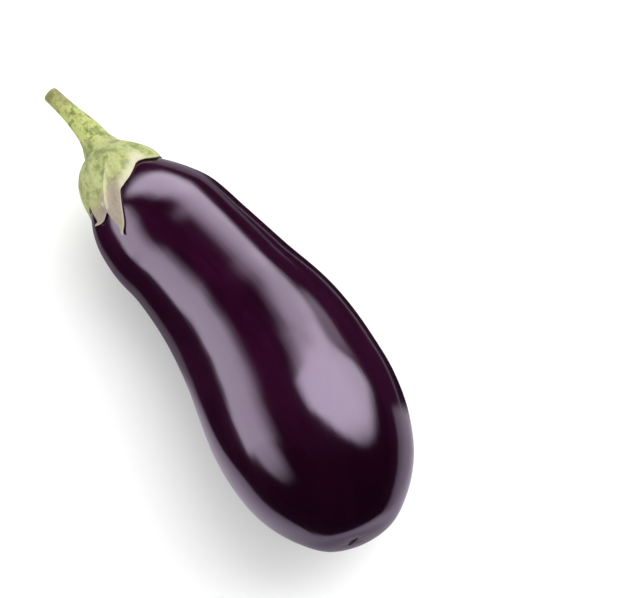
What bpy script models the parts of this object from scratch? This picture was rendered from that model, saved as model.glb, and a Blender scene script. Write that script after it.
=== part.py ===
"""Eggplant: a pear-shaped fruit, the star-shaped calyx grown over its stem end, and the cut stem.

The long axis lies along X, stem end at -X and blossom end at +X, and Z is up.
The origin is the middle of the small flat spot the fruit rests on. Metres throughout.
"""
import math

import bmesh
import bpy
from mathutils import Vector
from mathutils.geometry import interpolate_bezier

# ---------------------------------------------------------------- fruit
# centre line, from the stem end to the blossom end: the neck bends a little to one side
FRUIT_LINE = [
    (-0.1120, -0.0020, 0.0346),
    (-0.0850, -0.0020, 0.0335),
    (-0.0600, 0.0010, 0.0332),
    (-0.0300, 0.0020, 0.0348),
    (0.0000, 0.0005, 0.0384),
    (0.0270, -0.0050, 0.0419),
    (0.0590, -0.0133, 0.0460),
    (0.0900, -0.0220, 0.0499),
]
# section radius against distance along the centre line
FRUIT_RADII = [
    (0.0000, 0.0000),
    (0.0025, 0.0102),
    (0.0080, 0.0174),
    (0.0190, 0.0253),
    (0.0340, 0.0304),
    (0.0550, 0.0318),
    (0.0780, 0.0342),
    (0.1040, 0.0385),
    (0.1260, 0.0410),
    (0.1450, 0.0420),
    (0.1630, 0.0399),
    (0.1790, 0.0346),
    (0.1930, 0.0248),
    (0.2005, 0.0160),
    (0.2040, 0.0000),
]
FRUIT_AROUND = 60
FRUIT_ROWS = 44
REST_HEIGHT = 0.0
CUT_TOLERANCE = 0.000001

# blossom scar: a shallow dimple a little to one side of the blossom end
SCAR_FROM_END = 0.0044
SCAR_TURN = -48
SCAR_RADIUS = 0.0050
SCAR_DEPTH = 0.0012

# ---------------------------------------------------------------- calyx
GAP = 0.00035
COLLAR_CENTRE = (-0.1222, -0.0013, 0.0345)
COLLAR_RADIUS = 0.0090
# tips and notches of the lobes: turn from straight up towards +Y (degrees), reach over the skin
LOBES = [
    (46, 0.0262), (32, 0.0236), (21, 0.0235), (10, 0.0268), (0, 0.0300), (-10, 0.0320), (-15, 0.0331),
    (-19.5, 0.0372), (-24.5, 0.0420), (-29.5, 0.0458), (-33.8, 0.0480), (-36, 0.0494), (-36.5, 0.0462),
    (-36.9, 0.0430), (-37.5, 0.0392), (-38.6, 0.0370), (-42, 0.0376), (-47, 0.0385), (-52, 0.0394),
    (-55, 0.0364), (-57.5, 0.0322), (-60.5, 0.0285), (-66, 0.0245), (-74, 0.0222), (-81, 0.0234),
    (-88, 0.0237), (-97, 0.0242), (-107, 0.0264), (-116, 0.0292), (-124, 0.0264), (-134, 0.0232),
    (-147, 0.0288), (-162, 0.0370), (-180, 0.0300),
    (-197, 0.0240), (-214, 0.0290), (-232, 0.0365), (-250, 0.0290), (-268, 0.0235), (-286, 0.0230),
    (-301, 0.0242),
]
LOBE_STEPS = 3
# thickness of the calyx flesh against the distance from its middle
CALYX_THICKNESS = [
    (0.0090, 0.0095), (0.0160, 0.0064), (0.0200, 0.0048), (0.0250, 0.0033),
    (0.0300, 0.0025), (0.0360, 0.0020), (0.0500, 0.0016),
]
CALYX_ROWS_OUTSIDE = 12
CALYX_ROWS_INSIDE = 9

# ---------------------------------------------------------------- stem
# centre line and radius, from the calyx to the cut end
STEM_LINE = [
    (-0.12255, -0.0013, 0.0345, 0.0089),
    (-0.1280, -0.0005, 0.0348, 0.0070),
    (-0.1340, -0.0003, 0.0351, 0.0059),
    (-0.1400, -0.0008, 0.0354, 0.0050),
    (-0.1470, -0.0015, 0.0357, 0.0042),
    (-0.1598, -0.0031, 0.0361, 0.0037),
]
STEM_AROUND = 28
STEM_ROWS = 20
STEM_END_ROUNDING = 0.0008


def smooth_line(points, steps, round_ends=False):
    """A smooth curve through the points; round_ends makes it leave the axis squarely."""
    points = [Vector(p) for p in points]
    if round_ends:
        before = Vector((points[1][0], -points[1][1]))
        after = Vector((points[-2][0], -points[-2][1]))
    else:
        before = 2 * points[0] - points[1]
        after = 2 * points[-1] - points[-2]
    chain = [before] + points + [after]
    slopes = []
    for a, b, c in zip(chain, chain[1:], chain[2:]):
        first = (b - a).length
        second = (c - b).length
        slopes.append(((b - a) / first * second + (c - b) / second * first) / (first + second))
    curve = [points[0]]
    for i in range(len(points) - 1):
        reach = (points[i + 1] - points[i]).length / 3
        for k in range(1, steps + 1):
            t = k / steps
            a = points[i]
            b = a + slopes[i] * reach
            d = points[i + 1]
            c = d - slopes[i + 1] * reach
            curve.append(
                a * (1 - t) ** 3 + b * 3 * t * (1 - t) ** 2 + c * 3 * t * t * (1 - t) + d * t ** 3
            )
    return curve


def lengths(curve):
    """Distance along the curve at each of its points."""
    total = [0.0]
    for a, b in zip(curve, curve[1:]):
        total.append(total[-1] + (b - a).length)
    return total


def between(marks, values, at):
    """The value at a mark, on straight lines between the given ones."""
    if at <= marks[0]:
        return values[0]
    for m0, m1, v0, v1 in zip(marks, marks[1:], values, values[1:]):
        if at <= m1:
            return v0 + (v1 - v0) * ((at - m0) / max(m1 - m0, 1e-12))
    return values[-1]


LINE = smooth_line(FRUIT_LINE, 24)
LINE_MARKS = lengths(LINE)
STRETCH = LINE_MARKS[-1] / FRUIT_RADII[-1][0]
OUTLINE = smooth_line([(s * STRETCH, r) for s, r in FRUIT_RADII], 24, round_ends=True)
OUTLINE_MARKS = lengths(OUTLINE)
SKIN_LENGTH = OUTLINE_MARKS[-1]


def section(along):
    """Centre and the three axes (lengthwise, up, sideways) of the fruit's section."""
    centre = between(LINE_MARKS, LINE, along)
    step = 0.001
    ahead = between(LINE_MARKS, LINE, min(along + step, LINE_MARKS[-1]))
    behind = between(LINE_MARKS, LINE, max(along - step, 0.0))
    lengthwise = (ahead - behind).normalized()
    sideways = Vector((0, 0, 1)).cross(lengthwise).normalized()
    return centre, lengthwise, lengthwise.cross(sideways), sideways


def skin_point(distance, turn, lift=0.0):
    """A point at a distance over the skin from the stem end, turned from up towards +Y."""
    along, radius = between(OUTLINE_MARKS, OUTLINE, distance)
    step = 0.0004
    ahead = between(OUTLINE_MARKS, OUTLINE, min(distance + step, SKIN_LENGTH))
    behind = between(OUTLINE_MARKS, OUTLINE, max(distance - step, 0.0))
    if distance < step:
        behind = Vector((ahead[0], -ahead[1]))
    if distance > SKIN_LENGTH - step:
        ahead = Vector((behind[0], -behind[1]))
    slope = (ahead - behind).normalized()
    centre, lengthwise, up, sideways = section(along)
    outward = up * math.cos(turn) + sideways * math.sin(turn)
    normal = outward * slope[0] - lengthwise * slope[1]
    return centre + outward * radius + normal * lift


def shaped_ball(around, rows, point_at):
    """A closed ball of rows whose points are moved to where point_at(row, column) says."""
    bm = bmesh.new()
    bmesh.ops.create_uvsphere(bm, u_segments=around, v_segments=rows, radius=1.0)
    for vert in bm.verts:
        height = max(-1.0, min(1.0, vert.co.z))
        row = round((1 - math.acos(height) / math.pi) * rows)
        turn = math.atan2(vert.co.y, vert.co.x) / math.tau * around
        column = round(turn) % around
        vert.co = point_at(row, column)
    face_outwards(bm)
    return bm


def face_outwards(bm):
    bmesh.ops.recalc_face_normals(bm, faces=bm.faces)
    if bm.calc_volume(signed=True) < 0:
        bmesh.ops.reverse_faces(bm, faces=bm.faces)


def finish(bm, name, material, flat_below=None):
    """The named object, shaded smooth apart from faces lying in the resting plane."""
    mesh = bpy.data.meshes.new(name)
    for face in bm.faces:
        face.smooth = flat_below is None or face.calc_center_median().z > flat_below
    bm.to_mesh(mesh)
    bm.free()
    mesh.materials.append(material)
    obj = bpy.data.objects.new(name, mesh)
    bpy.context.scene.collection.objects.link(obj)
    return obj


def material(name, colour, roughness, coat=0.0):
    mat = bpy.data.materials.new(name)
    mat.use_nodes = True
    shader = mat.node_tree.nodes["Principled BSDF"]
    shader.inputs["Base Color"].default_value = (*colour, 1.0)
    shader.inputs["Roughness"].default_value = roughness
    shader.inputs["Coat Weight"].default_value = coat
    return mat


def make_fruit():
    """The one solid of the fruit, with its blossom scar and the flat spot it rests on."""
    scar = skin_point(SKIN_LENGTH - SCAR_FROM_END, math.radians(SCAR_TURN))
    inward = -section(LINE_MARKS[-1])[1]

    def place(row, column):
        share = row / FRUIT_ROWS
        # rows are closer together towards both ends
        share = share - 0.09 * math.sin(math.tau * share)
        point = skin_point(share * SKIN_LENGTH, column / FRUIT_AROUND * math.tau)
        away = (point - scar).length
        if away < SCAR_RADIUS:
            point = point + inward * SCAR_DEPTH * (1 - (away / SCAR_RADIUS) ** 2) ** 2
        return point

    bm = shaped_ball(FRUIT_AROUND, FRUIT_ROWS, place)
    everything = list(bm.verts) + list(bm.edges) + list(bm.faces)
    cut = bmesh.ops.bisect_plane(
        bm,
        geom=everything,
        dist=CUT_TOLERANCE,
        plane_co=(0, 0, REST_HEIGHT),
        plane_no=(0, 0, -1),
        clear_outer=True,
    )
    rim = [e for e in cut["geom_cut"] if isinstance(e, bmesh.types.BMEdge)]
    bmesh.ops.holes_fill(bm, edges=rim, sides=0)
    face_outwards(bm)
    skin = material("fruit", (0.028, 0.004, 0.018), 0.24, 0.5)
    return finish(bm, "fruit", skin, flat_below=REST_HEIGHT + CUT_TOLERANCE * 10)


def lobe_outline():
    """The outline of the calyx in polar terms: closed, smooth, one entry per column."""
    corners = []
    for turn, reach in LOBES:
        angle = math.radians(turn)
        corners.append(Vector((math.cos(angle), math.sin(angle))) * reach)
    count = len(corners)
    outline = []
    for i in range(count):
        p0 = corners[i - 1]
        p1 = corners[i]
        p2 = corners[(i + 1) % count]
        p3 = corners[(i + 2) % count]
        span = (p2 - p1).length
        start = (p2 - p0).normalized() * span / 3
        end = (p3 - p1).normalized() * span / 3
        stretch = interpolate_bezier(
            p1.to_3d(), (p1 + start).to_3d(), (p2 - end).to_3d(), p2.to_3d(), LOBE_STEPS + 1
        )
        outline.extend(stretch[:-1])
    return [v.to_2d() for v in outline]


def make_calyx():
    """The fleshy star that caps the stem end: a collar in the middle, thin lobes at the rim."""
    outline = lobe_outline()
    around = len(outline)
    marks = [m for m, _ in CALYX_THICKNESS]
    depths = [d for _, d in CALYX_THICKNESS]
    _, lengthwise, up, sideways = section(0.0)
    collar = Vector(COLLAR_CENTRE)
    rim_row = 1 + CALYX_ROWS_OUTSIDE
    rows = rim_row + 1 + CALYX_ROWS_INSIDE

    def flat_spot(column, share):
        """Polar place on the skin, from a round ring at the collar to the lobed outline."""
        edge = outline[column]
        ring = edge.normalized() * COLLAR_RADIUS
        return ring.lerp(edge, share)

    def place(row, column):
        if row == 0:
            return collar
        if row <= rim_row:
            share = (row - 1) / CALYX_ROWS_OUTSIDE
            spot = flat_spot(column, share)
            reach = spot.length
            turn = math.atan2(spot.y, spot.x)
            # thinner towards the rim, thicker on the side turned away from +Y
            flesh = between(marks, depths, reach) * (1 - 0.6 * share ** 4)
            lift = GAP + flesh * (1 - 0.12 * math.sin(turn))
            over_skin = skin_point(reach, turn, lift)
            round_top = up * math.cos(turn) + sideways * math.sin(turn)
            from_collar = reach - COLLAR_RADIUS
            flare = 0.65 - 0.2 * math.sin(turn)
            drop = 0.5 + 0.18 * math.sin(turn)
            on_collar = collar + round_top * (COLLAR_RADIUS + flare * from_collar)
            on_collar = on_collar + lengthwise * drop * from_collar
            blend = min(1.0, from_collar / 0.013)
            blend = blend * blend * (3 - 2 * blend)
            return on_collar.lerp(over_skin, blend)
        share = 1 - (row - rim_row - 1) / CALYX_ROWS_INSIDE
        edge = outline[column]
        spot = edge * share
        return skin_point(spot.length, math.atan2(edge.y, edge.x), GAP)

    bm = shaped_ball(around, rows, place)
    return finish(bm, "calyx", material("calyx", (0.42, 0.40, 0.20), 0.62))


def make_stem():
    """The tapering stem, cut square at its far end."""
    curve = smooth_line([p[:3] for p in STEM_LINE], 16)
    marks = lengths(curve)
    widths = smooth_line([(p[0], p[3]) for p in STEM_LINE], 16)
    total = marks[-1]

    def frame(along):
        ahead = between(marks, curve, min(along + 0.0008, total))
        behind = between(marks, curve, max(along - 0.0008, 0.0))
        lengthwise = (ahead - behind).normalized()
        if along <= 0.0:
            lengthwise = -section(0.0)[1]
        sideways = Vector((0, 0, 1)).cross(lengthwise).normalized()
        return lengthwise, lengthwise.cross(sideways), sideways

    def place(row, column):
        if row == 0:
            return curve[0]
        if row == STEM_ROWS:
            return curve[-1] + frame(total)[0] * STEM_END_ROUNDING * 0.3
        share = (row - 1) / (STEM_ROWS - 3)
        along = min(share, 1.0) * total
        radius = between(marks, widths, along)[1]
        if row == STEM_ROWS - 2:
            along = total - STEM_END_ROUNDING
        if row == STEM_ROWS - 1:
            radius = radius - STEM_END_ROUNDING
        turn = column / STEM_AROUND * math.tau
        lengthwise, up, sideways = frame(along)
        centre = between(marks, curve, along)
        return centre + (up * math.cos(turn) + sideways * math.sin(turn)) * radius

    bm = shaped_ball(STEM_AROUND, STEM_ROWS, place)
    return finish(bm, "stem", material("stem", (0.40, 0.42, 0.14), 0.6))


def main():
    for obj in list(bpy.data.objects):
        bpy.data.objects.remove(obj, do_unlink=True)
    make_fruit()
    make_calyx()
    make_stem()


main()
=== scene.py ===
"""Eggplant: the glossy fruit, its fleshy calyx and its cut stem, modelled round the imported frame.

Metres throughout. The long axis lies along X with the stem end at -X, and the fruit rests on Z = 0.
"""
import math
from bisect import bisect_left

import bmesh
import bpy
from mathutils import Matrix, Vector, noise
from mathutils.geometry import interpolate_bezier


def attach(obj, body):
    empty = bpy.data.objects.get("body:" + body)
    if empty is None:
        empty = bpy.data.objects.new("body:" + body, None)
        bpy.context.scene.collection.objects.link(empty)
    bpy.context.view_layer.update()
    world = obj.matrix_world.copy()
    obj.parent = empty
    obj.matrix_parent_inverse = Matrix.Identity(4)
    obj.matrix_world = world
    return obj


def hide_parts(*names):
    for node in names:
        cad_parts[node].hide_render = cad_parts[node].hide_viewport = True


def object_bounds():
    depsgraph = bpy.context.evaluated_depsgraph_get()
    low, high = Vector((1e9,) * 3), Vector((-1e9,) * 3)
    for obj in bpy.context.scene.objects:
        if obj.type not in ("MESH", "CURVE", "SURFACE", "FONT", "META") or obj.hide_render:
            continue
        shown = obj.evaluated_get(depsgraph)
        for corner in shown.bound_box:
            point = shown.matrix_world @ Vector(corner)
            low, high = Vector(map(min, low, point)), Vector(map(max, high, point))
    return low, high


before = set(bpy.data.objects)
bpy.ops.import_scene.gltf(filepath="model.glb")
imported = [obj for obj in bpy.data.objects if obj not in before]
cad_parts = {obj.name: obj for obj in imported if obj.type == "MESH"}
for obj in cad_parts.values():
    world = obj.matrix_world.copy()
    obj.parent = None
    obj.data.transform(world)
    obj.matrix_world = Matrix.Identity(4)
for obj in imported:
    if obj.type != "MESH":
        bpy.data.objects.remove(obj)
CAD_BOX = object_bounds()

bl_info = {
    "name": "Eggplant",
    "version": (1, 0, 0),
    "blender": (4, 5, 0),
    "location": "View3D > Sidebar > Eggplant",
    "description": "A glossy eggplant with its calyx and cut stem, and a small studio",
    "category": "Object",
}

# ---------------------------------------------------------------- the shared form
# centre line of the fruit, from the stem end to the blossom end
FRUIT_LINE = [
    (-0.1120, -0.0020, 0.0346),
    (-0.0850, -0.0020, 0.0335),
    (-0.0600, 0.0010, 0.0332),
    (-0.0300, 0.0020, 0.0348),
    (0.0000, 0.0005, 0.0384),
    (0.0270, -0.0050, 0.0419),
    (0.0590, -0.0133, 0.0460),
    (0.0900, -0.0220, 0.0499),
]
# section radius against distance along the centre line
FRUIT_RADII = [
    (0.0000, 0.0000), (0.0025, 0.0102), (0.0080, 0.0174), (0.0190, 0.0253), (0.0340, 0.0304),
    (0.0550, 0.0318), (0.0780, 0.0342), (0.1040, 0.0385), (0.1260, 0.0410), (0.1450, 0.0420),
    (0.1630, 0.0399), (0.1790, 0.0346), (0.1930, 0.0248), (0.2005, 0.0160), (0.2040, 0.0000),
]
# blossom scar: how far from the blossom end, and its turn from straight up towards +Y
SCAR_FROM_END = 0.0044
SCAR_TURN = -48
# half its length and half its width; the skin near it is puckered
SCAR_HALF_LENGTH = 0.0027
SCAR_HALF_WIDTH = 0.0012
PUCKERED = 0.012
# the skin's pattern is laid on a tube of this radius
PATTERN_RADIUS = 0.036

# the calyx grows from a round collar; its lobes lie this far off the skin, with at least this much flesh
GAP = 0.00035
THINNEST = 0.00040
COLLAR_CENTRE = Vector((-0.1222, -0.0013, 0.0345))
COLLAR_RADIUS = 0.0090
# how far the rim is drawn back under the lobes
DRAWN_BACK = 0.0006
# a small torn flap between two lobes: turn, reach and width
TORN_FLAP = (-36.0, 0.0345, 0.0013)
# the lobes that have dried lie round this turn
DRY_TURN = -34
# tips and notches of the lobes: turn from straight up towards +Y (degrees), reach over the skin
LOBES = [
    (46, 0.0262), (32, 0.0236), (21, 0.0235), (10, 0.0268), (0, 0.0300), (-10, 0.0320), (-15, 0.0331),
    (-19.5, 0.0372), (-24.5, 0.0420), (-29.5, 0.0458), (-33.8, 0.0480), (-36, 0.0494), (-36.5, 0.0462),
    (-36.9, 0.0430), (-37.5, 0.0392), (-38.6, 0.0370), (-42, 0.0376), (-47, 0.0385), (-52, 0.0394),
    (-55, 0.0364), (-57.5, 0.0322), (-60.5, 0.0285), (-66, 0.0245), (-74, 0.0222), (-81, 0.0234),
    (-88, 0.0237), (-97, 0.0242), (-107, 0.0264), (-116, 0.0292), (-124, 0.0264), (-134, 0.0232),
    (-147, 0.0288), (-162, 0.0370), (-180, 0.0300),
    (-197, 0.0240), (-214, 0.0290), (-232, 0.0365), (-250, 0.0290), (-268, 0.0235), (-286, 0.0230),
    (-301, 0.0242),
]
# the middle line of each lobe: turn, reach of its tip
LOBE_RIBS = [(46, 0.026), (-6, 0.032), (-33, 0.049), (-52, 0.038), (-116, 0.029),
             (-162, 0.036), (-232, 0.036)]
# tips and torn ends that curl: turn and reach of the spot, its width, lift, and pull aside and inwards
CURLS = [
    (46, 0.0262, 0.0040, 0.0005, 0.0, 0.0), (-36, 0.0494, 0.0024, 0.0007, -0.0022, 0.0),
    (-52, 0.0394, 0.0021, 0.0014, -0.0040, -0.0024), (*TORN_FLAP, 0.0011, 0.0, 0.0),
    (-116, 0.0292, 0.0040, 0.0007, 0.0, 0.0), (-162, 0.0370, 0.0050, 0.0009, 0.0, 0.0),
    (-232, 0.0365, 0.0050, 0.0008, 0.0, 0.0),
]
# the line along which one lobe laps over its neighbour: reach and turn
LAP = [(0.0188, -10), (0.0233, -19), (0.0276, -26), (0.0323, -30), (0.0364, -33), (0.0390, -36)]
# thickness of the calyx flesh against the distance from its middle
CALYX_THICKNESS = [
    (0.0090, 0.0095), (0.0160, 0.0064), (0.0200, 0.0048), (0.0250, 0.0033),
    (0.0300, 0.0025), (0.0360, 0.0020), (0.0500, 0.0016),
]
# centre line and radius of the stem, from the calyx to the cut end
STEM_LINE = [
    (-0.12255, -0.0013, 0.0345, 0.0089),
    (-0.1280, -0.0005, 0.0348, 0.0070),
    (-0.1340, -0.0003, 0.0351, 0.0059),
    (-0.1400, -0.0008, 0.0354, 0.0050),
    (-0.1470, -0.0015, 0.0357, 0.0042),
    (-0.1598, -0.0031, 0.0361, 0.0037),
]


def smooth_line(points, steps, round_ends=False):
    """A smooth curve through the points; round_ends makes it leave the axis squarely."""
    points = [Vector(p) for p in points]
    if round_ends:
        before = Vector((points[1][0], -points[1][1]))
        after = Vector((points[-2][0], -points[-2][1]))
    else:
        before = 2 * points[0] - points[1]
        after = 2 * points[-1] - points[-2]
    chain = [before] + points + [after]
    slopes = []
    for a, b, c in zip(chain, chain[1:], chain[2:]):
        first = (b - a).length
        second = (c - b).length
        slopes.append(((b - a) / first * second + (c - b) / second * first) / (first + second))
    curve = [points[0]]
    for i in range(len(points) - 1):
        reach = (points[i + 1] - points[i]).length / 3
        for k in range(1, steps + 1):
            t = k / steps
            a = points[i]
            b = a + slopes[i] * reach
            d = points[i + 1]
            c = d - slopes[i + 1] * reach
            curve.append(
                a * (1 - t) ** 3 + b * 3 * t * (1 - t) ** 2 + c * 3 * t * t * (1 - t) + d * t ** 3
            )
    return curve


def lengths(curve):
    """Distance along the curve at each of its points."""
    total = [0.0]
    for a, b in zip(curve, curve[1:]):
        total.append(total[-1] + (b - a).length)
    return total


def between(marks, values, at):
    """The value at a mark, on straight lines between the given ones."""
    if at <= marks[0]:
        return values[0]
    if at >= marks[-1]:
        return values[-1]
    i = bisect_left(marks, at)
    share = (at - marks[i - 1]) / max(marks[i] - marks[i - 1], 1e-12)
    return values[i - 1] + (values[i] - values[i - 1]) * share


def ease(value, low, high):
    """0 below low, 1 above high, and a soft step between them; low may be the larger."""
    t = max(0.0, min(1.0, (value - low) / (high - low)))
    return t * t * (3 - 2 * t)


def hump(value, width):
    """1 at 0, falling softly to nothing a few widths away."""
    return math.exp(-((value / width) ** 2))


LINE = smooth_line(FRUIT_LINE, 24)
LINE_MARKS = lengths(LINE)
STRETCH = LINE_MARKS[-1] / FRUIT_RADII[-1][0]
OUTLINE = smooth_line([(s * STRETCH, r) for s, r in FRUIT_RADII], 24, round_ends=True)
OUTLINE_MARKS = lengths(OUTLINE)
SKIN_LENGTH = OUTLINE_MARKS[-1]
STEM_CURVE = smooth_line([p[:3] for p in STEM_LINE], 16)
STEM_MARKS = lengths(STEM_CURVE)
STEM_WIDTHS = smooth_line([(p[0], p[3]) for p in STEM_LINE], 16)
STEM_LENGTH = STEM_MARKS[-1]


def section(along):
    """Centre and the three axes (lengthwise, up, sideways) of the fruit's section."""
    centre = between(LINE_MARKS, LINE, along)
    step = 0.001
    ahead = between(LINE_MARKS, LINE, min(along + step, LINE_MARKS[-1]))
    behind = between(LINE_MARKS, LINE, max(along - step, 0.0))
    lengthwise = (ahead - behind).normalized()
    sideways = Vector((0, 0, 1)).cross(lengthwise).normalized()
    return centre, lengthwise, lengthwise.cross(sideways), sideways


def ring(distance):
    """What a ring of the skin needs: centre, axes, radius and slope at a distance from the stem end."""
    along, radius = between(OUTLINE_MARKS, OUTLINE, distance)
    step = 0.0004
    ahead = between(OUTLINE_MARKS, OUTLINE, min(distance + step, SKIN_LENGTH))
    behind = between(OUTLINE_MARKS, OUTLINE, max(distance - step, 0.0))
    if distance < step:
        behind = Vector((ahead[0], -ahead[1]))
    if distance > SKIN_LENGTH - step:
        ahead = Vector((behind[0], -behind[1]))
    slope = (ahead - behind).normalized()
    return (*section(along), radius, slope)


def on_ring(place, turn, lift=0.0):
    """The point of a ring at a turn from up towards +Y, lifted off the skin."""
    centre, lengthwise, up, sideways, radius, slope = place
    outward = up * math.cos(turn) + sideways * math.sin(turn)
    return centre + outward * (radius + lift * slope[0]) - lengthwise * (lift * slope[1])


def skin_point(distance, turn, lift=0.0):
    return on_ring(ring(distance), turn, lift)


def stem_point(along, turn, lift=0.0):
    """A point of the stem's side, at a distance from its foot; below the foot it goes straight on."""
    at = max(along, 0.0)
    step = 0.0008
    ahead = between(STEM_MARKS, STEM_CURVE, min(at + step, STEM_LENGTH))
    behind = between(STEM_MARKS, STEM_CURVE, max(at - step, 0.0))
    lengthwise = (ahead - behind).normalized()
    lengthwise = lengthwise.lerp(-section(0.0)[1], ease(at, 0.006, 0.0)).normalized()
    sideways = lengthwise.cross(Vector((0, 0, 1))).normalized()
    up = sideways.cross(lengthwise)
    centre = between(STEM_MARKS, STEM_CURVE, at) + lengthwise * min(along, 0.0)
    radius = between(STEM_MARKS, STEM_WIDTHS, at)[1]
    return centre + (up * math.cos(turn) + sideways * math.sin(turn)) * (radius + lift)


def turned_from(degrees, middle):
    """How far a turn is from a middle one, from -180 to 180 degrees."""
    return (degrees - middle + 180) % 360 - 180


def fibres(along, turn):
    """Ridges that run down the stem and fan out over the calyx, as a share of their height."""
    round_stem = Vector((math.cos(turn), math.sin(turn), 0.0))
    broad = noise.noise(round_stem * 1.6 + Vector((0, 0, along / 0.016)))
    ridge = noise.noise(round_stem * 4.5 + Vector((5, 0, along / 0.030)))
    fine = noise.noise(round_stem * 11 + Vector((9, 0, along / 0.012)))
    return broad * 0.9 + ridge * 0.8 + fine * 0.35


def shaped_ball(around, rows, place, layers):
    """A closed ball of rows whose points go where place(row, column) says, with its layer values."""
    bm = bmesh.new()
    bmesh.ops.create_uvsphere(bm, u_segments=around, v_segments=rows, radius=1.0)
    kinds = {"vector": bm.verts.layers.float_vector, "value": bm.verts.layers.float}
    made = [kinds[kind].new(name) for name, kind in layers]
    for vert in bm.verts:
        height = max(-1.0, min(1.0, vert.co.z))
        row = round((1 - math.acos(height) / math.pi) * rows)
        turn = math.atan2(vert.co.y, vert.co.x) / math.tau * around
        vert.co, *values = place(row, round(turn) % around)
        for layer, value in zip(made, values):
            vert[layer] = value
    face_outwards(bm)
    return bm


def face_outwards(bm):
    bmesh.ops.recalc_face_normals(bm, faces=bm.faces)
    if bm.calc_volume(signed=True) < 0:
        bmesh.ops.reverse_faces(bm, faces=bm.faces)


def piece(bm, name, finish, node):
    """The finished piece: smooth, inside the frame's box, standing for its node of the frame."""
    low, high = CAD_BOX
    for vert in bm.verts:
        vert.co = [max(a, min(b, c)) for a, b, c in zip(low, high, vert.co)]
    for face in bm.faces:
        face.smooth = True
    mesh = bpy.data.meshes.new(name)
    bm.to_mesh(mesh)
    bm.free()
    mesh.materials.append(finish)
    obj = bpy.data.objects.new(name, mesh)
    bpy.context.scene.collection.objects.link(obj)
    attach(obj, "root")
    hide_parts(node)


# ---------------------------------------------------------------- finishes
class Finish:
    """One material: short calls that add a node and join it up."""

    def __init__(self, name):
        self.material = bpy.data.materials.new(name)
        self.material.use_nodes = True
        self.tree = self.material.node_tree
        self.shader = self.tree.nodes["Principled BSDF"]

    def node(self, kind, **settings):
        made = self.tree.nodes.new("ShaderNode" + kind)
        for name, value in settings.items():
            setattr(made, name, value)
        return made

    def feed(self, socket, value):
        if isinstance(value, bpy.types.NodeSocket):
            self.tree.links.new(value, socket)
        else:
            socket.default_value = value

    def object_place(self):
        return self.node("TexCoord").outputs["Object"]

    def attribute(self, name, output="Fac"):
        return self.node("Attribute", attribute_name=name).outputs[output]

    def stretch(self, vector, scale):
        made = self.node("Mapping")
        self.feed(made.inputs["Vector"], vector)
        made.inputs["Scale"].default_value = scale
        return made.outputs["Vector"]

    def noise(self, vector, size, detail, roughness=0.5):
        """Cloudy values whose patches are about size across."""
        made = self.node("TexNoise")
        self.feed(made.inputs["Vector"], vector)
        made.inputs["Scale"].default_value = 1 / size
        made.inputs["Detail"].default_value = detail
        made.inputs["Roughness"].default_value = roughness
        return made.outputs["Fac"]

    def step(self, value, low, high, bottom=0.0, top=1.0):
        """A soft step from bottom to top as value goes from low to high."""
        made = self.node("MapRange", interpolation_type="SMOOTHSTEP")
        for socket, given in zip(made.inputs, (value, low, high, bottom, top)):
            self.feed(socket, given)
        return made.outputs["Result"]

    def math(self, operation, first, second=0.5):
        made = self.node("Math", operation=operation)
        self.feed(made.inputs[0], first)
        self.feed(made.inputs[1], second)
        return made.outputs[0]

    def add(self, *values):
        total = values[0]
        for value in values[1:]:
            total = self.math("ADD", total, value)
        return total

    def times(self, first, second):
        return self.math("MULTIPLY", first, second)

    def length(self, x, y):
        return self.math("SQRT", self.add(self.times(x, x), self.times(y, y)))

    def blend(self, share, first, second):
        """From the first colour to the second as share goes from 0 to 1."""
        made = self.node("Mix", data_type="RGBA")
        for index, value in ((0, share), (6, first), (7, second)):
            if not isinstance(value, bpy.types.NodeSocket) and index:
                value = (*value[:3], 1.0)
            self.feed(made.inputs[index], value)
        return made.outputs[2]

    def bump(self, height, distance):
        made = self.node("Bump")
        made.inputs["Distance"].default_value = distance
        self.feed(made.inputs["Height"], height)
        return made.outputs["Normal"]

    def set(self, **values):
        for name, value in values.items():
            self.feed(self.shader.inputs[name.replace("_", " ")], value)
        return self.material


def colour_setting(name, description, value):
    return bpy.props.FloatVectorProperty(
        name=name, description=description, default=value, subtype="COLOR", min=0.0, max=1.0, size=3
    )


def length_setting(name, description, value, top=0.01):
    return bpy.props.FloatProperty(
        name=name, description=description, default=value, min=0.0, max=top,
        subtype="DISTANCE", unit="LENGTH", precision=5,
    )


def share_setting(name, description, value):
    return bpy.props.FloatProperty(
        name=name, description=description, default=value, min=0.0, max=1.0, subtype="FACTOR"
    )


# ---------------------------------------------------------------- fruit
class FruitSettings(bpy.types.PropertyGroup):
    dark: colour_setting("Skin", "Deepest colour of the skin", (0.0110, 0.0004, 0.0066))
    warm: colour_setting("Skin, warmer", "Redder colour in the streaks", (0.0200, 0.0013, 0.0125))
    scar: colour_setting("Scar", "Dark corky colour of the blossom scar", (0.018, 0.007, 0.011))
    shine: colour_setting("Shine", "Tint of the waxy shine", (0.84, 0.645, 0.94))
    gloss: share_setting("Roughness", "How much the shine is spread", 0.13)
    wax: share_setting("Wax", "Weight of the sharper coat of shine", 0.35)
    lumps: length_setting("Lumps", "Height of the broad unevenness", 0.00006)
    flutes: length_setting("Flutes", "Height of the long shallow waves", 0.00003)
    streaks: length_setting("Streaks", "Height of the fine lengthwise streaks", 0.000022)
    around: bpy.props.IntProperty(
        name="Around", description="Points round the fruit", default=256, min=16
    )
    rows: bpy.props.IntProperty(
        name="Rows", description="Rows along the fruit", default=270, min=16
    )


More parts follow.
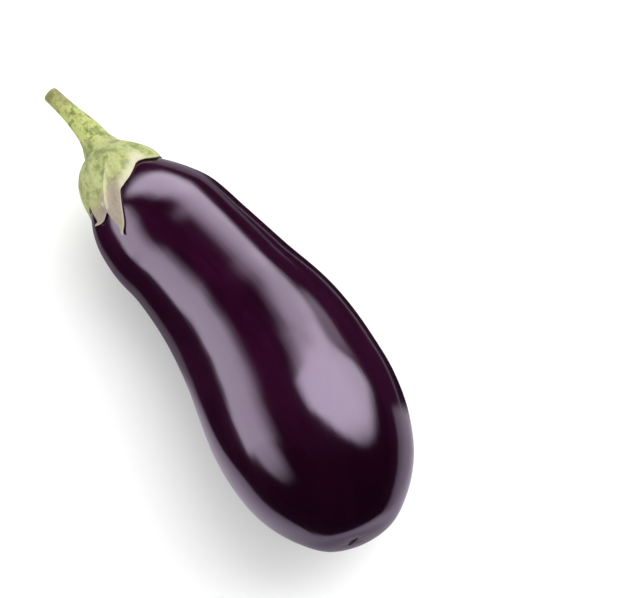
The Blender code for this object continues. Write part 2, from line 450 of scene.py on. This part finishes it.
def skin_finish(wanted):
    f = Finish("eggplant_skin")
    over = f.attribute("over_skin", "Vector")
    clouds = f.noise(f.stretch(over, (0.45, 1, 1)), 0.020, 3)
    streaks = f.noise(f.stretch(over, (0.07, 1, 1)), 0.0022, 4, 0.6)
    threads = f.noise(f.stretch(over, (0.05, 1, 1)), 0.0006, 3, 0.6)
    warmth = f.add(f.times(clouds, 0.7), f.times(streaks, 0.3))
    colour = f.blend(f.step(warmth, 0.36, 0.66), wanted.dark, wanted.warm)
    along = f.node("SeparateXYZ")
    f.feed(along.inputs[0], over)
    # painted shade: the skin's colour darkens towards the blossom end
    painted_shade_to_blossom_end = f.step(along.outputs[0], 0.125, 0.235, 0.0, 0.62)
    colour = f.blend(painted_shade_to_blossom_end, colour, (0.0022, 0.0001, 0.0014))
    specks = f.node("TexVoronoi", feature="F1")
    f.feed(specks.inputs["Vector"], over)
    specks.inputs["Scale"].default_value = 1 / 0.0075
    speck = f.step(specks.outputs["Distance"], 0.055, 0.02)
    colour = f.blend(f.times(speck, 0.35), colour, (0.075, 0.030, 0.050))
    scar = f.attribute("scar")
    cork = f.noise(f.object_place(), 0.0006, 3, 0.65)
    corky = f.blend(cork, [c * 0.35 for c in wanted.scar], [c * 1.5 for c in wanted.scar])
    colour = f.blend(scar, colour, corky)
    rough = f.add(
        wanted.gloss - 0.03,
        f.times(streaks, 0.035),
        f.times(clouds, 0.030),
        f.times(scar, 0.45),
    )
    height = f.add(f.times(threads, 0.25), f.times(streaks, 0.75), f.times(f.times(cork, scar), 5.0))
    return f.set(
        Base_Color=colour,
        Roughness=rough,
        Normal=f.bump(height, 0.00004),
        Specular_Tint=(*wanted.shine, 1.0),
        Specular_IOR_Level=1.0,
        IOR=1.55,
        Coat_Weight=f.times(f.math("SUBTRACT", 1.0, scar), wanted.wax),
        Coat_Roughness=0.05,
    )


def fruit_relief(wanted, distance, turn):
    """Height of the skin's unevenness over the plain form."""
    round_fruit = Vector((math.cos(turn), math.sin(turn), 0.0))
    lump = noise.noise(round_fruit * 1.25 + Vector((3.1, 0, distance / 0.050)))
    flute = noise.noise(round_fruit * 3.0 + Vector((7.7, 0, distance / 0.055)))
    streak = noise.noise(round_fruit * 8.0 + Vector((1.3, 0, distance / 0.028)))
    fine = noise.noise(round_fruit * 19.0 + Vector((4.9, 0, distance / 0.014)))
    calm = ease(distance, SKIN_LENGTH - 0.004, SKIN_LENGTH - 0.030)
    return (
        wanted.lumps * (lump - 0.25)
        + wanted.flutes * flute * calm
        + wanted.streaks * (streak + 0.3 * fine) * calm
    )


class EGGPLANT_OT_fruit(bpy.types.Operator):
    """Make the fruit: a bent pear shape with its resting spot, blossom scar and streaked gloss"""

    bl_idname = "eggplant.fruit"
    bl_label = "Fruit"

    def execute(self, context):
        wanted = context.scene.eggplant_fruit
        around, rows = wanted.around, wanted.rows
        # rows lie closer together at the two ends, most of all round the scar
        steps = [0.0, 0.06, 0.78, 1.0]
        reached = [0.0, 0.010, SKIN_LENGTH - 0.014, SKIN_LENGTH]
        distances = [between(steps, reached, row / rows) for row in range(rows + 1)]
        rings = [ring(distance) for distance in distances]
        scar_turn = math.radians(SCAR_TURN)
        scar = skin_point(SKIN_LENGTH - SCAR_FROM_END, scar_turn)
        _, _, up, sideways = section(LINE_MARKS[-1])
        across = up * math.cos(scar_turn) + sideways * math.sin(scar_turn)
        level = sideways * math.cos(scar_turn) - up * math.sin(scar_turn)

        def place(row, column):
            distance = distances[row]
            turn = column / around * math.tau
            lift = fruit_relief(wanted, distance, turn)
            point = on_ring(rings[row], turn)
            corky = 0.0
            offset = point - scar
            if offset.length < PUCKERED:
                u, v = offset.dot(level), offset.dot(across)
                away = math.hypot(u, v)
                bearing = math.atan2(v, u)
                wavy = noise.noise(Vector((math.cos(bearing), math.sin(bearing), 2)) * 1.7)
                edge = math.hypot(u / SCAR_HALF_LENGTH, v / SCAR_HALF_WIDTH) * (1 + 0.18 * wavy)
                pucker = math.cos(bearing * 7 + 2 * math.sin(bearing * 2))
                # a shallow hollow with puckers round it, then the rim, the pad and the slit
                lift -= 0.00045 * hump(away, 0.0042)
                lift += 0.00006 * pucker * hump(away - 0.0040, 0.0014)
                lift -= 0.00040 * hump(edge - 1.0, 0.16)
                lift += 0.00030 * hump(edge - 0.62, 0.30)
                lift -= 0.00060 * hump(math.hypot(u / 0.0020, v / 0.0005), 1.0)
                corky = ease(edge, 1.12, 0.92)
            point = on_ring(rings[row], turn, lift)
            over = Vector((distance, PATTERN_RADIUS * math.cos(turn), PATTERN_RADIUS * math.sin(turn)))
            return point, over, corky

        bm = shaped_ball(around, rows, place, (("over_skin", "vector"), ("scar", "value")))
        piece(bm, "eggplant_fruit", skin_finish(wanted), "fruit")
        return {"FINISHED"}


# ---------------------------------------------------------------- green parts
class GreenSettings(bpy.types.PropertyGroup):
    light: colour_setting("Pale green", "Pale green of the calyx", (0.330, 0.356, 0.132))
    olive: colour_setting("Olive", "Olive patches", (0.165, 0.200, 0.045))
    fleck: colour_setting("Flecks", "Small dark flecks", (0.112, 0.148, 0.019))
    dry: colour_setting("Dry", "Buff of the dry lobes", (0.300, 0.262, 0.160))
    mauve: colour_setting("Dry, mauve", "Mauve of the driest tips", (0.275, 0.222, 0.180))
    # cream of the rims, also laid on the calyx as painted highlights
    rim_and_glint: colour_setting("Rim", "Cream of the lobes' cut-like rims", (0.440, 0.425, 0.285))
    stem: colour_setting("Stem", "Yellow green of the stem", (0.395, 0.432, 0.128))
    bark: colour_setting("Bark", "Brown patches on the stem", (0.193, 0.156, 0.061))
    pith: colour_setting("Pith", "Pale middle of the cut end", (0.394, 0.385, 0.213))
    ridges: length_setting("Ridges", "Height of the ridges along the stem", 0.00024)
    ribs: length_setting("Ribs", "Height of the ribs on the lobes", 0.00060)
    wrinkles: length_setting("Wrinkles", "Height of the fine wrinkles", 0.00020)


def green_finish(name, wanted, on_stem):
    """The mottled green of stem and calyx; both share one pattern, so it runs across their joint."""
    f = Finish(name)
    here = f.object_place()
    grain = f.attribute("grain", "Vector")
    patches = f.noise(f.stretch(here, (0.8, 1, 1)), 0.0060, 3, 0.5)
    blotches = f.noise(here, 0.0022, 2, 0.5)
    freckles = f.noise(here, 0.0011, 2, 0.5)
    threads = f.noise(f.stretch(grain, (0.10, 1, 1)), 0.0009, 3, 0.6)
    fuzz = f.noise(here, 0.0004, 2, 0.6)
    along = f.node("SeparateXYZ")
    f.feed(along.inputs[0], here)
    up_stem = f.step(along.outputs[0], -0.119, -0.134)
    pale = f.blend(up_stem, wanted.light, wanted.stem)
    colour = f.blend(f.step(patches, 0.46, 0.72), pale, wanted.olive)
    flecked = f.times(f.step(blotches, 0.44, 0.62), f.step(patches, 0.34, 0.56))
    colour = f.blend(f.times(flecked, f.step(up_stem, 0.0, 1.0, 0.58, 0.88)), colour, wanted.fleck)
    freckled = f.times(f.step(freckles, 0.52, 0.70), f.step(up_stem, 0.0, 1.0, 0.22, 0.36))
    colour = f.blend(freckled, colour, wanted.fleck)
    colour = f.blend(f.step(threads, 0.45, 0.75, 0.0, 0.26), colour, wanted.rim_and_glint)
    height = f.add(f.times(threads, 0.9), f.times(fuzz, 0.35), f.times(blotches, 0.5))
    if on_stem:
        tip = f.step(along.outputs[0], -0.143, -0.154)
        brown = f.times(tip, f.step(blotches, 0.36, 0.66, 0.45, 1.0))
        colour = f.blend(f.times(brown, 0.72), colour, wanted.bark)
        cut = f.attribute("cut")
        core = f.attribute("core")
        face = f.blend(f.step(core, 0.35, 0.75), wanted.pith, wanted.stem)
        face = f.blend(f.step(core, 0.80, 1.0), face, wanted.bark)
        face = f.blend(f.times(freckles, 0.5), face, wanted.bark)
        colour = f.blend(cut, colour, face)
    else:
        dry = f.attribute("dry")
        dryness = f.add(dry, f.times(patches, 0.45), f.times(threads, 0.35), f.times(blotches, 0.25))
        buff = f.blend(f.step(blotches, 0.35, 0.65), wanted.dry, [c * 0.80 for c in wanted.dry])
        mauve = f.step(f.add(dry, f.times(blotches, 0.5)), 0.85, 1.35)
        buff = f.blend(mauve, buff, wanted.mauve)
        speck = f.times(f.step(freckles, 0.50, 0.70), 0.30)
        buff = f.blend(speck, buff, [c * 0.55 for c in wanted.dry])
        colour = f.blend(f.step(dryness, 0.66, 1.42), colour, buff)
        # the pale rims and torn flap, and painted highlights on the sunny side and along the lap line
        edge = f.step(f.add(f.attribute("rim_and_glint"), f.times(threads, 0.3), f.times(blotches, 0.2)), 0.25, 1.25)
        colour = f.blend(f.times(edge, 0.90), colour, wanted.rim_and_glint)
    return f.set(
        Base_Color=colour,
        Roughness=f.add(0.50, f.times(threads, 0.16), f.times(patches, 0.08)),
        Normal=f.bump(height, 0.00040),
        Specular_IOR_Level=0.35,
        Sheen_Weight=0.12,
        Sheen_Roughness=0.5,
    )


def grain_at(from_collar, turn):
    """Where a point of stem or calyx lies in their shared grain, which runs out from the stem."""
    return Vector((from_collar, COLLAR_RADIUS * math.cos(turn), COLLAR_RADIUS * math.sin(turn)))


def lobe_outline(steps):
    """The outline of the calyx in polar terms: closed, smooth, one entry per column."""
    corners = []
    for turn, reach in LOBES:
        angle = math.radians(turn)
        corners.append(Vector((math.cos(angle), math.sin(angle))) * reach)
    count = len(corners)
    outline = []
    for i in range(count):
        p0 = corners[i - 1]
        p1 = corners[i]
        p2 = corners[(i + 1) % count]
        p3 = corners[(i + 2) % count]
        span = (p2 - p1).length
        start = (p2 - p0).normalized() * span / 3
        end = (p3 - p1).normalized() * span / 3
        stretch = interpolate_bezier(
            p1.to_3d(), (p1 + start).to_3d(), (p2 - end).to_3d(), p2.to_3d(), steps + 1
        )
        outline.extend(stretch[:-1])
    return [v.to_2d() for v in outline]


class EGGPLANT_OT_calyx(bpy.types.Operator):
    """Make the calyx: a fleshy collar that thins out into ribbed lobes with dry, curled tips"""

    bl_idname = "eggplant.calyx"
    bl_label = "Calyx"

    def execute(self, context):
        wanted = context.scene.eggplant_green
        outline = lobe_outline(10)
        around = len(outline)
        on_stem_rows, outside, edge_rows, inside = 14, 60, 4, 22
        first_edge = 1 + on_stem_rows + outside
        first_inside = first_edge + edge_rows
        rows = first_inside + inside
        # how far the calyx runs up the stem, and where it closes inside the stem
        up_stem = 0.0055
        closed = up_stem + 0.0006
        marks = [m for m, _ in CALYX_THICKNESS]
        depths = [d for _, d in CALYX_THICKNESS]
        lap_marks = [m for m, _ in LAP]
        lap_turns = [t for _, t in LAP]
        _, lengthwise, up, sideways = section(0.0)

        def flesh(reach, turn, share):
            """Lift of the outer face over the skin."""
            lift = between(marks, depths, reach)
            return GAP + lift * (1 - 0.86 * share ** 4) * (1 - 0.12 * math.sin(turn))

        def beside_lap(reach, degrees):
            """Distance to the right of the line where one lobe laps over the next."""
            return math.radians(degrees - between(lap_marks, lap_turns, reach)) * reach

        def detail(reach, turn, share):
            """Ribs, folds and curls on top of the plain form."""
            degrees = math.degrees(turn)
            extra = 0.0
            for rib_turn, rib_reach in LOBE_RIBS:
                beside = math.radians(turned_from(degrees, rib_turn)) * reach
                fade = ease(reach, 0.010, 0.017) * ease(reach, rib_reach, rib_reach - 0.012)
                extra += wanted.ribs * hump(beside, 0.0022) * fade
            # one lobe is tucked under its neighbour
            off = beside_lap(reach, degrees)
            on_lap = ease(reach, 0.0165, 0.0225) * ease(reach, 0.0392, 0.0368)
            extra -= 0.00120 * hump(off - 0.0026, 0.0034) * ease(off, -0.0002, 0.0003) * on_lap
            extra += 0.00060 * hump(off + 0.0006, 0.0009) * on_lap
            for curl_turn, curl_reach, width, height, _, _ in CURLS:
                beside = math.radians(turned_from(degrees, curl_turn)) * reach
                away = math.hypot(beside, reach - curl_reach)
                extra += height * hump(away, width)
            extra += wanted.ridges * fibres(COLLAR_RADIUS - reach, turn) * ease(share, 1.0, 0.75)
            grainy = Vector((math.cos(turn) * 16, math.sin(turn) * 16, reach / 0.006))
            extra += wanted.wrinkles * noise.noise(grainy) * ease(share, 0.05, 0.3)
            return extra

        def pulled(reach, turn):
            """The spot that the curls pull a point of the lobes to."""
            for curl_turn, curl_reach, width, _, aside, inwards in CURLS:
                if aside or inwards:
                    off = turn - math.radians(curl_turn)
                    pull = hump(math.hypot(off * reach, reach - curl_reach), width)
                    turn += aside * pull / max(reach, 0.01)
                    reach += inwards * pull
            return reach, turn

        def outer(share, column):
            edge = outline[column]
            spot = (edge.normalized() * COLLAR_RADIUS).lerp(edge, share)
            reach = spot.length
            turn = math.atan2(spot.y, spot.x)
            lift = max(flesh(reach, turn, share) + detail(reach, turn, share), GAP + THINNEST)
            over_skin = skin_point(*pulled(reach, turn), lift)
            round_top = up * math.cos(turn) + sideways * math.sin(turn)
            from_collar = reach - COLLAR_RADIUS
            flare = 0.65 - 0.2 * math.sin(turn)
            drop = 0.5 + 0.18 * math.sin(turn)
            ridge = wanted.ridges * fibres(COLLAR_RADIUS - reach, turn)
            on_collar = COLLAR_CENTRE + round_top * (COLLAR_RADIUS + ridge + flare * from_collar)
            on_collar = on_collar + lengthwise * drop * from_collar
            return on_collar.lerp(over_skin, ease(from_collar, 0.0, 0.013)), reach, turn

        def place(row, column):
            edge = outline[column]
            edge_turn = math.atan2(edge.y, edge.x)
            rim_and_glint = 0.0
            if row == 0:
                point = (stem_point(closed, 0.0) + stem_point(closed, math.pi)) / 2
                reach, turn = 0.003, 0.0
            elif row <= on_stem_rows:
                along = up_stem * (1 - (row - 1) / on_stem_rows)
                turn = edge_turn
                lift = 0.00014 - 0.0006 * ease(along, up_stem - 0.0016, up_stem)
                lift += wanted.ridges * fibres(along, turn)
                point, reach = stem_point(along, turn, lift), COLLAR_RADIUS - along
            elif row <= first_edge:
                share = (row - 1 - on_stem_rows) / outside
                point, reach, turn = outer(share ** 0.9, column)
                rim_and_glint = ease(share, 0.93, 1.0)
            elif row < first_inside:
                # the rim is rounded over and drawn back a little under the lobe
                t = (row - first_edge) / edge_rows
                top, reach, turn = outer(1.0, column)
                low = skin_point(*pulled(max(edge.length - DRAWN_BACK, 0.0), edge_turn), GAP)
                point = top.lerp(low, t)
                rim_and_glint = 1.0
            else:
                share = 1 - (row - first_inside) / inside
                reach, turn = max(edge.length - DRAWN_BACK, 0.0) * share, edge_turn
                extra = detail(reach, turn, share) * ease(share, 0.85, 1.0) * 0.8
                point = skin_point(*pulled(reach, turn), GAP + max(extra, 0.0))
            degrees = math.degrees(turn)
            under = ease(beside_lap(reach, degrees), -0.0002, 0.0010)
            facing = ease(abs(turned_from(degrees, DRY_TURN)), 55, 15)
            early = (0.0030 + 0.0045 * under) * facing
            dry = ease(reach + early, 0.0255, 0.0400)
            # a painted highlight: a cream band runs in from the rim on the sunny side, as if light caught
            # the edge
            inwards = edge.length - reach
            painted_glint_band = ease(degrees, -19, -11) * ease(degrees, 42, 28) * ease(inwards, 0.0065, 0.0004)
            torn_turn, torn_reach, torn_width = TORN_FLAP
            beside = math.radians(degrees - torn_turn) * reach
            torn = hump(math.hypot(beside, reach - torn_reach), torn_width)
            # a painted highlight along the line where one lobe laps over the next
            painted_lap_glint = hump(beside_lap(reach, degrees) + 0.0003, 0.0005)
            painted_lap_glint *= ease(reach, 0.0195, 0.0235) * ease(reach, 0.0385, 0.0365)
            # the rim layer holds the pale rims and the torn flap, and also the painted highlights of the
            # sunny band and the lap line
            rim_and_glint = max(0.55 * rim_and_glint, painted_glint_band, 0.9 * torn, 0.75 * painted_lap_glint)
            return point, grain_at(reach - COLLAR_RADIUS, turn), dry, rim_and_glint

        layers = (("grain", "vector"), ("dry", "value"), ("rim_and_glint", "value"))
        bm = shaped_ball(around, rows, place, layers)
        # smooth the corner between the stem's foot and the lobes
        corner = [v for v in bm.verts if (v.co - COLLAR_CENTRE).length < 0.0135 and v.co.x < -0.1155]
        for _ in range(16):
            bmesh.ops.smooth_vert(
                bm, verts=corner, factor=0.5, use_axis_x=True, use_axis_y=True, use_axis_z=True
            )
        finish = green_finish("eggplant_calyx", wanted, False)
        piece(bm, "eggplant_calyx", finish, "calyx")
        return {"FINISHED"}


class EGGPLANT_OT_stem(bpy.types.Operator):
    """Make the stem: ridged, tapering and cut across at its end"""

    bl_idname = "eggplant.stem"
    bl_label = "Stem"

    def execute(self, context):
        wanted = context.scene.eggplant_green
        around, side, end = 96, 110, 16
        rows = 2 + side + end
        foot = -0.0030
        rounding = 0.0006

        def place(row, column):
            turn = column / around * math.tau
            cut, core = 0.0, 1.0
            if row == 0:
                along, share = foot, 0.0
            elif row <= side + 1:
                along, share = foot + (STEM_LENGTH - rounding - foot) * (row - 1) / side, 1.0
            else:
                t = (row - side - 1) / (rows - side - 1)
                corner = min(t / 0.3, 1.0)
                along = STEM_LENGTH - rounding * (1 - math.sin(corner * math.pi / 2))
                share = 1 - 0.12 * (1 - math.cos(corner * math.pi / 2))
                share *= 1 - max(0.0, (t - 0.3) / 0.7)
                cut, core = ease(t, 0.12, 0.32), share
            lift = wanted.ridges * fibres(along, turn)
            side_point = stem_point(along, turn, lift)
            middle = (stem_point(along, 0.0) + stem_point(along, math.pi)) / 2
            point = middle.lerp(side_point, share)
            if cut:
                rough = noise.noise(Vector((math.cos(turn), math.sin(turn), 0)) * share * 3.5)
                back = middle - (stem_point(along - 0.001, 0) + stem_point(along - 0.001, math.pi)) / 2
                dish = 0.00035 * hump(share, 0.55) + 0.00012 * rough
                point = point - back.normalized() * dish * cut
            return point, grain_at(-along, turn), cut, core

        layers = (("grain", "vector"), ("cut", "value"), ("core", "value"))
        bm = shaped_ball(around, rows, place, layers)
        finish = green_finish("eggplant_stem", wanted, True)
        piece(bm, "eggplant_stem", finish, "stem")
        return {"FINISHED"}


# ---------------------------------------------------------------- stage
class StageSettings(bpy.types.PropertyGroup):
    floor: colour_setting("Floor", "Pale colour of the floor", (0.850, 0.855, 0.850))
    power: bpy.props.FloatProperty(
        name="Light", description="Brightness of the soft lights", default=4.4, min=0.0
    )
    fill: share_setting("Fill", "Brightness of the room's soft fill", 0.90)
    turn: bpy.props.FloatProperty(
        name="Turn", description="Camera's turn round the object", default=math.radians(51.5),
        subtype="ANGLE", unit="ROTATION",
    )
    height: bpy.props.FloatProperty(
        name="Height", description="Camera's angle above the horizon", default=math.radians(72.0),
        subtype="ANGLE", unit="ROTATION",
    )
    distance: length_setting("Distance", "Camera's distance from the object", 0.70, 5.0)
    lens: bpy.props.FloatProperty(
        name="Lens", description="Focal length", default=85.0, subtype="DISTANCE_CAMERA", unit="CAMERA"
    )


# soft light panels: turn from +X towards +Y, height, distance and half size, then patches of glow:
# brightness, and soft edges as bearing on the panel, distance that is full, where it ends, what is left
SOFT_PANELS = [
    ("light_window", 84, 42, 1.10, 1.65, [
        (1.00, ((142, 0.45, 0.64, 0), (180, 0.15, 0.75, 0), (232, 0.40, 0.73, 0), (-51, 0.52, 0.76, 0),
                (0, 0.56, 0.665, 0), (90, 0.78, 1.25, 0), (0, 0.25, 0.60, 0.84), (-90, 0.00, 0.50, 0.80))),
        (0.28, ((180, -0.70, -0.10, 0), (0, 0.72, 0.92, 0), (90, -0.30, 0.00, 0), (-90, 0.75, 0.97, 0))),
    ]),
    ("light_back", 158, 22, 0.30, 0.62, [
        (0.88, ((-18, -0.210, -0.055, 0), (15, 0.050, 0.165, 0), (-90, -0.19, -0.09, 0),
                (180, 0.22, 0.33, 0), (90, 0.55, 0.61, 0))),
        (0.63, ((0, -0.135, -0.01, 0), (238, 0.100, 0.165, 0), (180, 0.24, 0.34, 0), (90, 0.12, 0.20, 0))),
    ]),
    ("light_shoulder", 158, 22, 0.15, 0.16, [
        (0.80, ((90, -0.006, 0.058, 0), (63, 0.018, 0.052, 0), (141, 0.010, 0.050, 0),
                (246, 0.027, 0.060, 0), (-63, 0.034, 0.055, 0))),
        (0.62, ((90, -0.020, 0.010, 0), (0, -0.040, -0.010, 0), (180, 0.050, 0.085, 0),
                (246, 0.036, 0.066, 0))),
    ]),
    ("light_side", -112, 24, 1.00, 0.85, [
        (0.62, ((0, 0.06, 0.20, 0), (90, 0.05, 0.52, 0), (-90, 0.33, 0.48, 0), (180, 0.55, 0.85, 0))),
        (0.60, ((0, -0.05, 0.75, 0), (-59, 0.24, 0.38, 0), (90, 0.08, 0.42, 0), (180, -0.10, 0.10, 0))),
    ]),
]
# the spot that the camera looks at
AIM = Vector((-0.0146, 0.0394, 0.0))
# a panel nearer than this only shows in the shine, so it doesn't light the calyx or the floor
CLOSE_BY = 0.2
# the floor's painted reflection in the skin is bright only close to the fruit: how far, beside the body
# and beside the neck
PAINTED_FLOOR_REFLECTION = (0.165, 0.070)


class EGGPLANT_OT_stage(bpy.types.Operator):
    """Set the pale floor, the soft lights and the camera"""

    bl_idname = "eggplant.stage"
    bl_label = "Stage"

    def execute(self, context):
        wanted = context.scene.eggplant_stage
        scene = context.scene
        scene.view_settings.view_transform = "Standard"
        self.floor(scene, wanted)
        self.room(scene, wanted)
        for panel in SOFT_PANELS:
            self.light(scene, wanted, *panel)
        self.camera(scene, wanted)
        return {"FINISHED"}

    def light(self, scene, wanted, name, turn, height, distance, half, patches):
        """A glowing panel that faces the fruit and fades out along its soft edges."""
        turn, height = math.radians(turn), math.radians(height)
        toward = Vector((
            math.cos(turn) * math.cos(height), math.sin(turn) * math.cos(height), math.sin(height)
        ))
        right = Vector((-math.sin(turn), math.cos(turn), 0.0))
        up = toward.cross(right)
        bm = bmesh.new()
        bmesh.ops.create_grid(bm, x_segments=100, y_segments=100, size=half)
        glow = bm.verts.layers.float.new("glow")
        for vert in bm.verts:
            for level, edges in patches:
                for bearing, full, end, rest in edges:
                    out = vert.co.dot(Matrix.Rotation(math.radians(bearing), 3, "Z").col[0])
                    level *= rest + (1 - rest) * ease(out, end, full)
                vert[glow] = max(vert[glow], level)
        dark = [face for face in bm.faces if not any(vert[glow] for vert in face.verts)]
        bmesh.ops.delete(bm, geom=dark, context="FACES")
        bmesh.ops.reverse_faces(bm, faces=bm.faces)
        facing = Matrix((right, up, toward)).transposed().to_4x4()
        facing.translation = Vector((0.0, 0.0, 0.045)) + toward * distance
        bmesh.ops.transform(bm, matrix=facing, verts=bm.verts)
        mesh = bpy.data.meshes.new(name)
        bm.to_mesh(mesh)
        bm.free()
        f = Finish(name)
        shine, clear, both = f.node("Emission"), f.node("BsdfTransparent"), f.node("MixShader")
        front = f.math("SUBTRACT", 1.0, f.node("NewGeometry").outputs["Backfacing"])
        shine.inputs["Strength"].default_value = wanted.power
        f.feed(both.inputs[0], f.times(front, f.attribute("glow")))
        f.tree.links.new(clear.outputs[0], both.inputs[1])
        f.tree.links.new(shine.outputs[0], both.inputs[2])
        f.tree.links.new(both.outputs[0], f.tree.nodes["Material Output"].inputs["Surface"])
        f.tree.nodes.remove(f.shader)
        mesh.materials.append(f.material)
        panel = bpy.data.objects.new(name, mesh)
        scene.collection.objects.link(panel)
        panel.visible_camera = False
        if distance < CLOSE_BY:
            panel.visible_diffuse = False
            panel.visible_shadow = False

    def floor(self, scene, wanted):
        """The pale floor; in the shine its colour is painted: a painted reflection, bright only in soft
        zones close to the fruit, with painted shade elsewhere.
        """
        bm = bmesh.new()
        bmesh.ops.create_grid(bm, x_segments=1, y_segments=1, size=4.0)
        mesh = bpy.data.meshes.new("floor")
        bm.to_mesh(mesh)
        bm.free()
        floor = bpy.data.objects.new("floor", mesh)
        scene.collection.objects.link(floor)
        f = Finish("floor")
        place = f.node("SeparateXYZ")
        f.feed(place.inputs[0], f.object_place())
        x, y = place.outputs[0], place.outputs[1]
        # distance from the fruit's middle line, laid on the floor: the painted bright reflection of the
        # floor ends at a distance that grows from the slim neck to the broad body
        beyond = f.math("MAXIMUM", f.math("SUBTRACT", f.math("ABSOLUTE", x), 0.075), 0.0)
        aside = f.math("MAXIMUM", f.times(y, -1.0), f.times(y, 0.75))
        away = f.length(beyond, aside)
        this_side = f.step(y, 0.0, -0.01)
        neck = f.times(f.step(x, -0.010, -0.045), this_side)
        limit = f.step(f.times(f.step(x, 0.040, -0.055), this_side), 0.0, 1.0, *PAINTED_FLOOR_REFLECTION)
        past = f.math("SUBTRACT", away, limit)
        painted_mirror_light = f.times(f.step(past, 0.007, -0.007), f.step(past, -0.105, 0.0, 1.0, 0.65))
        # painted shade in the mirrored floor: dim beside the neck and along the far side
        painted_mirror_light = f.times(painted_mirror_light, f.step(neck, 0.0, 1.0, 1.0, 0.42))
        painted_mirror_light = f.times(painted_mirror_light, f.step(y, 0.0, 0.060, 1.0, 0.52))
        # painted shade in the mirrored floor: dark behind the fruit, but for one thin strip and a corner
        # of painted reflected light
        beside = f.math("SUBTRACT", f.times(y, 0.26), f.times(x, 0.97))
        behind = f.times(f.step(beside, -0.052, -0.034), f.step(y, 0.010, 0.030))
        painted_light_strip = f.times(f.step(y, 0.088, 0.092), f.step(y, 0.106, 0.099))
        corner = f.step(x, -0.100, -0.125)
        left = f.math("MAXIMUM", f.times(painted_light_strip, 0.45), f.times(corner, 0.55))
        painted_mirror_light = f.times(painted_mirror_light, f.step(behind, 0.0, 1.0, 1.0, left))
        # painted shade in the mirrored floor: dim below the blossom end
        end_x = f.times(f.add(x, -0.115), 14.0)
        end_y = f.times(f.add(y, 0.035), 12.5)
        painted_mirror_light = f.times(painted_mirror_light, f.step(f.length(end_x, end_y), 0.3, 1.1, 0.40, 1.0))
        mirrored = f.node("LightPath").outputs["Is Glossy Ray"]
        # the floor's colour in the shine is a painted reflection: dark far off, pale lavender close to the
        # fruit
        painted_reflection = f.blend(painted_mirror_light, (0.008, 0.006, 0.009), (0.70, 0.63, 0.74))
        mesh.materials.append(f.set(
            Base_Color=f.blend(mirrored, wanted.floor, painted_reflection),
            Roughness=0.9,
            Specular_IOR_Level=0.0,
        ))

    def room(self, scene, wanted):
        """Even light from all round, which the shine hardly mirrors."""
        world = bpy.data.worlds.new("room")
        scene.world = world
        world.use_nodes = True
        tree = world.node_tree
        back = tree.nodes["Background"]
        path = tree.nodes.new("ShaderNodeLightPath")
        total = wanted.fill
        for ray, level in (("Is Glossy Ray", 0.002), ("Is Camera Ray", 0.95)):
            mix = tree.nodes.new("ShaderNodeMix")
            tree.links.new(path.outputs[ray], mix.inputs[0])
            mix.inputs[3].default_value = level
            if isinstance(total, float):
                mix.inputs[2].default_value = total
            else:
                tree.links.new(total, mix.inputs[2])
            total = mix.outputs[0]
        back.inputs["Color"].default_value = (1.0, 1.0, 1.0, 1.0)
        tree.links.new(total, back.inputs["Strength"])

    def camera(self, scene, wanted):
        """The camera, turned round the object and aimed at its spot."""
        turn, height = wanted.turn, wanted.height
        back = Vector((
            math.sin(turn) * math.cos(height), -math.cos(turn) * math.cos(height), math.sin(height)
        ))
        right = Vector((math.cos(turn), math.sin(turn), 0.0))
        facing = Matrix((right, back.cross(right), back)).transposed().to_4x4()
        data = bpy.data.cameras.new("camera")
        data.lens = wanted.lens
        data.clip_start, data.clip_end = 0.01, 20.0
        camera = bpy.data.objects.new("camera", data)
        camera.matrix_world = Matrix.Translation(AIM + back * wanted.distance) @ facing
        scene.collection.objects.link(camera)
        scene.camera = camera


# ---------------------------------------------------------------- panel and order of work
SETTINGS = {
    "eggplant_fruit": FruitSettings, "eggplant_green": GreenSettings, "eggplant_stage": StageSettings,
}
OPERATORS = [EGGPLANT_OT_fruit, EGGPLANT_OT_calyx, EGGPLANT_OT_stem, EGGPLANT_OT_stage]


class EGGPLANT_PT_panel(bpy.types.Panel):
    """Sizes and colours of the eggplant, and the steps that make it"""

    bl_idname = "EGGPLANT_PT_panel"
    bl_label = "Eggplant"
    bl_space_type = "VIEW_3D"
    bl_region_type = "UI"
    bl_category = "Eggplant"

    def draw(self, context):
        for operator in OPERATORS:
            self.layout.operator(operator.bl_idname)
        for name, group in SETTINGS.items():
            box = self.layout.box()
            for field in group.__annotations__:
                box.prop(getattr(context.scene, name), field)


CLASSES = [*SETTINGS.values(), *OPERATORS, EGGPLANT_PT_panel]


def register():
    for cls in CLASSES:
        bpy.utils.register_class(cls)
    for name, group in SETTINGS.items():
        setattr(bpy.types.Scene, name, bpy.props.PointerProperty(type=group))


def unregister():
    for name in SETTINGS:
        delattr(bpy.types.Scene, name)
    for cls in reversed(CLASSES):
        bpy.utils.unregister_class(cls)


def main():
    register()
    bpy.ops.eggplant.fruit()
    bpy.ops.eggplant.calyx()
    bpy.ops.eggplant.stem()
    bpy.ops.eggplant.stage()


if __name__ == "__main__":
    main()
